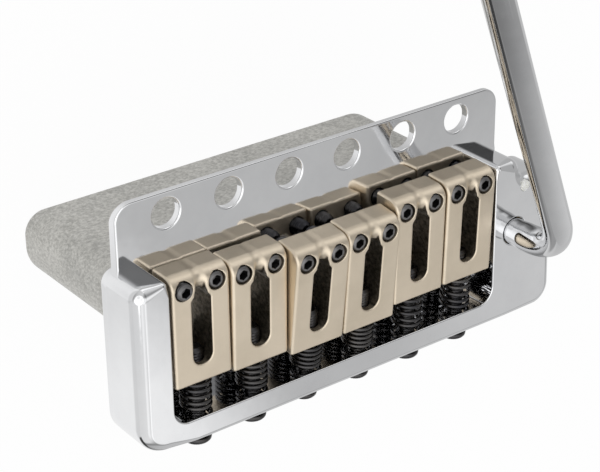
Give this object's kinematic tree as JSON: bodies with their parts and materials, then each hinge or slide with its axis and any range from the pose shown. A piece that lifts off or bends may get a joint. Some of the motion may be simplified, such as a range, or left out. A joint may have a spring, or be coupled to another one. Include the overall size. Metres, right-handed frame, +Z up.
{
  "type": "guitar tremolo bridge",
  "caption": "Guitar tremolo bridge: a chromed tray plate over a heavy block, sliding and tilting string saddles with springs and set screws, and a swinging arm.",
  "frame": {"origin": "middle of the line of pivot screw holes, at the flange's top face", "axes": "+X towards the treble side, +Y towards the neck, +Z up out of the guitar's top"},
  "size_m": [0.0835, 0.157, 0.0893],
  "materials": {
    "plate_chrome": "polished chrome plating on a cast and milled plate",
    "block_metal": "tumbled, fine-grained satin nickel",
    "saddle_metal": "satin warm nickel on steel, finely brushed",
    "black_steel": "black oxide, slightly oily",
    "spring_steel": "black oxide spring wire",
    "screw_nickel": "bright nickel",
    "bush_brass": "turned brass",
    "arm_chrome": "polished chrome plating on steel rod",
    "tip_plastic": "moulded ivory plastic",
    "plug_nylon": "white nylon"
  },
  "bodies": {
    "bridge": {"base_plate": "plate_chrome", "inertia_block": "block_metal", "block_screws": "screw_nickel", "arm_bush": "bush_brass", "arm_tension_screw": "black_steel", "nylon_plug": "plug_nylon"},
    "arm": {"arm": "arm_chrome", "arm_tip": "tip_plastic"},
    "spring_1": {"intonation_spring_1": "spring_steel"},
    "saddle_1": {"saddle_1": "saddle_metal"},
    "intonation_screw_1": {"intonation_screw_1": "black_steel"},
    "height_screws_1": {"height_screw_1_bass": "black_steel", "height_screw_1_treble": "black_steel"},
    "spring_2": {"intonation_spring_2": "spring_steel"},
    "saddle_2": {"saddle_2": "saddle_metal"},
    "intonation_screw_2": {"intonation_screw_2": "black_steel"},
    "height_screws_2": {"height_screw_2_bass": "black_steel", "height_screw_2_treble": "black_steel"},
    "spring_3": {"intonation_spring_3": "spring_steel"},
    "saddle_3": {"saddle_3": "saddle_metal"},
    "intonation_screw_3": {"intonation_screw_3": "black_steel"},
    "height_screws_3": {"height_screw_3_bass": "black_steel", "height_screw_3_treble": "black_steel"},
    "spring_4": {"intonation_spring_4": "spring_steel"},
    "saddle_4": {"saddle_4": "saddle_metal"},
    "intonation_screw_4": {"intonation_screw_4": "black_steel"},
    "height_screws_4": {"height_screw_4_bass": "black_steel", "height_screw_4_treble": "black_steel"},
    "spring_5": {"intonation_spring_5": "spring_steel"},
    "saddle_5": {"saddle_5": "saddle_metal"},
    "intonation_screw_5": {"intonation_screw_5": "black_steel"},
    "height_screws_5": {"height_screw_5_bass": "black_steel", "height_screw_5_treble": "black_steel"},
    "spring_6": {"intonation_spring_6": "spring_steel"},
    "saddle_6": {"saddle_6": "saddle_metal"},
    "intonation_screw_6": {"intonation_screw_6": "black_steel"},
    "height_screws_6": {"height_screw_6_bass": "black_steel", "height_screw_6_treble": "black_steel"}
  },
  "joints": [
    {"name": "arm_swing", "type": "hinge", "parent": "bridge", "child": "arm", "pos_m": [0.0366, -0.0206, 0.006], "axis": [0, 0, 1], "continuous": true},
    {"name": "tilt_1", "type": "hinge", "parent": "bridge", "child": "spring_1", "pos_m": [-0.02625, -0.0326, 0.00285], "axis": [1, 0, 0], "range_deg": [0, 8]},
    {"name": "screw_spin_1", "type": "hinge", "parent": "spring_1", "child": "intonation_screw_1", "pos_m": [-0.02625, -0.0326, 0.00285], "axis": [0, 1, 0], "range_deg": [-1657, 1225]},
    {"name": "intonation_1", "type": "slide", "parent": "spring_1", "child": "saddle_1", "axis": [0, 1, 0], "range_m": [-0.0017, 0.0023], "deforming": ["intonation_spring_1"]},
    {"name": "height_1", "type": "slide", "parent": "saddle_1", "child": "height_screws_1", "axis": [0, 0, 1], "range_m": [-0.0031, 0]},
    {"name": "tilt_2", "type": "hinge", "parent": "bridge", "child": "spring_2", "pos_m": [-0.01575, -0.0326, 0.00285], "axis": [1, 0, 0], "range_deg": [-1.2, 6.8]},
    {"name": "screw_spin_2", "type": "hinge", "parent": "spring_2", "child": "intonation_screw_2", "pos_m": [-0.01575, -0.0326, 0.00285], "axis": [0, 0.9998, 0.0209], "range_deg": [-1981, 901]},
    {"name": "intonation_2", "type": "slide", "parent": "spring_2", "child": "saddle_2", "axis": [0, 0.9998, 0.0209], "range_m": [-0.00125, 0.00275], "deforming": ["intonation_spring_2"]},
    {"name": "height_2", "type": "slide", "parent": "saddle_2", "child": "height_screws_2", "axis": [0, -0.0209, 0.9998], "range_m": [-0.00258, 0.00046]},
    {"name": "tilt_3", "type": "hinge", "parent": "bridge", "child": "spring_3", "pos_m": [-0.00525, -0.0326, 0.00285], "axis": [1, 0, 0], "range_deg": [-6.9, 1.1]},
    {"name": "screw_spin_3", "type": "hinge", "parent": "spring_3", "child": "intonation_screw_3", "pos_m": [-0.00525, -0.0326, 0.00285], "axis": [0, 0.9928, 0.1201], "range_deg": [-2269, 613]},
    {"name": "intonation_3", "type": "slide", "parent": "spring_3", "child": "saddle_3", "axis": [0, 0.9928, 0.1201], "range_m": [-0.00085, 0.00315], "deforming": ["intonation_spring_3"]},
    {"name": "height_3", "type": "slide", "parent": "saddle_3", "child": "height_screws_3", "axis": [0, -0.1201, 0.9928], "range_m": [-0.00041, 0.00257]},
    {"name": "tilt_4", "type": "hinge", "parent": "bridge", "child": "spring_4", "pos_m": [0.00525, -0.0326, 0.00285], "axis": [1, 0, 0], "range_deg": [-5.5, 2.5]},
    {"name": "screw_spin_4", "type": "hinge", "parent": "spring_4", "child": "intonation_screw_4", "pos_m": [0.00525, -0.0326, 0.00285], "axis": [0, 0.9954, 0.0958], "range_deg": [-2305, 577]},
    {"name": "intonation_4", "type": "slide", "parent": "spring_4", "child": "saddle_4", "axis": [0, 0.9954, 0.0958], "range_m": [-0.0008, 0.0032], "deforming": ["intonation_spring_4"]},
    {"name": "height_4", "type": "slide", "parent": "saddle_4", "child": "height_screws_4", "axis": [0, -0.0958, 0.9954], "range_m": [-0.00093, 0.00205]},
    {"name": "tilt_5", "type": "hinge", "parent": "bridge", "child": "spring_5", "pos_m": [0.01575, -0.0326, 0.00285], "axis": [1, 0, 0], "range_deg": [-2.2, 5.8]},
    {"name": "screw_spin_5", "type": "hinge", "parent": "spring_5", "child": "intonation_screw_5", "pos_m": [0.01575, -0.0326, 0.00285], "axis": [0, 0.9993, 0.0384], "range_deg": [-1297, 1585]},
    {"name": "intonation_5", "type": "slide", "parent": "spring_5", "child": "saddle_5", "axis": [0, 0.9993, 0.0384], "range_m": [-0.0022, 0.0018], "deforming": ["intonation_spring_5"]},
    {"name": "height_5", "type": "slide", "parent": "saddle_5", "child": "height_screws_5", "axis": [0, -0.0384, 0.9993], "range_m": [-0.0023, 0.00087]},
    {"name": "tilt_6", "type": "hinge", "parent": "bridge", "child": "spring_6", "pos_m": [0.02625, -0.0326, 0.00285], "axis": [1, 0, 0], "range_deg": [-2.5, 5.5]},
    {"name": "screw_spin_6", "type": "hinge", "parent": "spring_6", "child": "intonation_screw_6", "pos_m": [0.02625, -0.0326, 0.00285], "axis": [0, 0.999, 0.0436], "range_deg": [-1153, 1729]},
    {"name": "intonation_6", "type": "slide", "parent": "spring_6", "child": "saddle_6", "axis": [0, 0.999, 0.0436], "range_m": [-0.0024, 0.0016], "deforming": ["intonation_spring_6"]},
    {"name": "height_6", "type": "slide", "parent": "saddle_6", "child": "height_screws_6", "axis": [0, -0.0436, 0.999], "range_m": [-0.0022, 0.001]}
  ],
  "couplings": [
    {"joint": "screw_spin_1", "follows": "intonation_1", "rad_per_m": -12566},
    {"joint": "height_1", "follows": "tilt_1", "m_per_rad": -0.0222},
    {"joint": "screw_spin_2", "follows": "intonation_2", "rad_per_m": -12566},
    {"joint": "height_2", "follows": "tilt_2", "m_per_rad": -0.02175},
    {"joint": "screw_spin_3", "follows": "intonation_3", "rad_per_m": -12566},
    {"joint": "height_3", "follows": "tilt_3", "m_per_rad": -0.02135},
    {"joint": "screw_spin_4", "follows": "intonation_4", "rad_per_m": -12566},
    {"joint": "height_4", "follows": "tilt_4", "m_per_rad": -0.0213},
    {"joint": "screw_spin_5", "follows": "intonation_5", "rad_per_m": -12566},
    {"joint": "height_5", "follows": "tilt_5", "m_per_rad": -0.0227},
    {"joint": "screw_spin_6", "follows": "intonation_6", "rad_per_m": -12566},
    {"joint": "height_6", "follows": "tilt_6", "m_per_rad": -0.0229}
  ]
}
